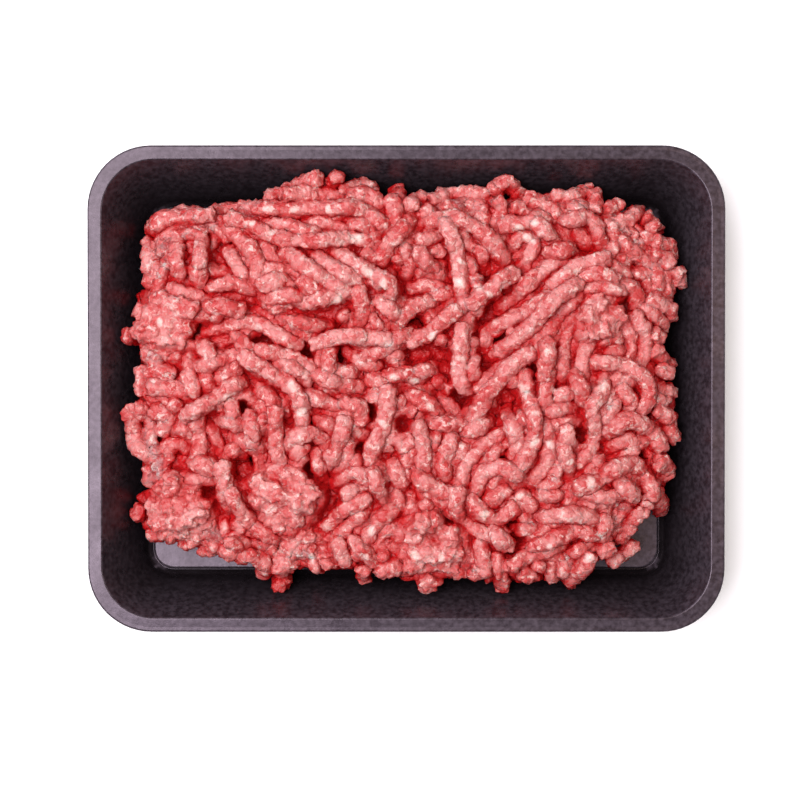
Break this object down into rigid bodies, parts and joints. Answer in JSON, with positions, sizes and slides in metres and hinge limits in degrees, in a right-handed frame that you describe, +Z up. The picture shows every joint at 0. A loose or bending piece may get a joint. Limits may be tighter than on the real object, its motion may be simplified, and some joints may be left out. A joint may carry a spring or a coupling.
{
  "type": "open foam tray of raw minced beef",
  "caption": "Shallow black foam tray with a flat rim, sloping walls and a raised floor panel, holding an uneven heap of raw minced beef.",
  "frame": {"origin": "centre of the tray's footprint, on the surface the tray stands on", "axes": "+X along the tray's length, +Y across it, +Z up"},
  "size_m": [0.22, 0.168, 0.0401],
  "materials": {
    "black_foam": "satin skin of black polystyrene foam",
    "raw_mince": "moist raw minced beef with specks of fat"
  },
  "bodies": {
    "root": {"tray": "black_foam", "mince_heap": "raw_mince"}
  },
  "joints": []
}
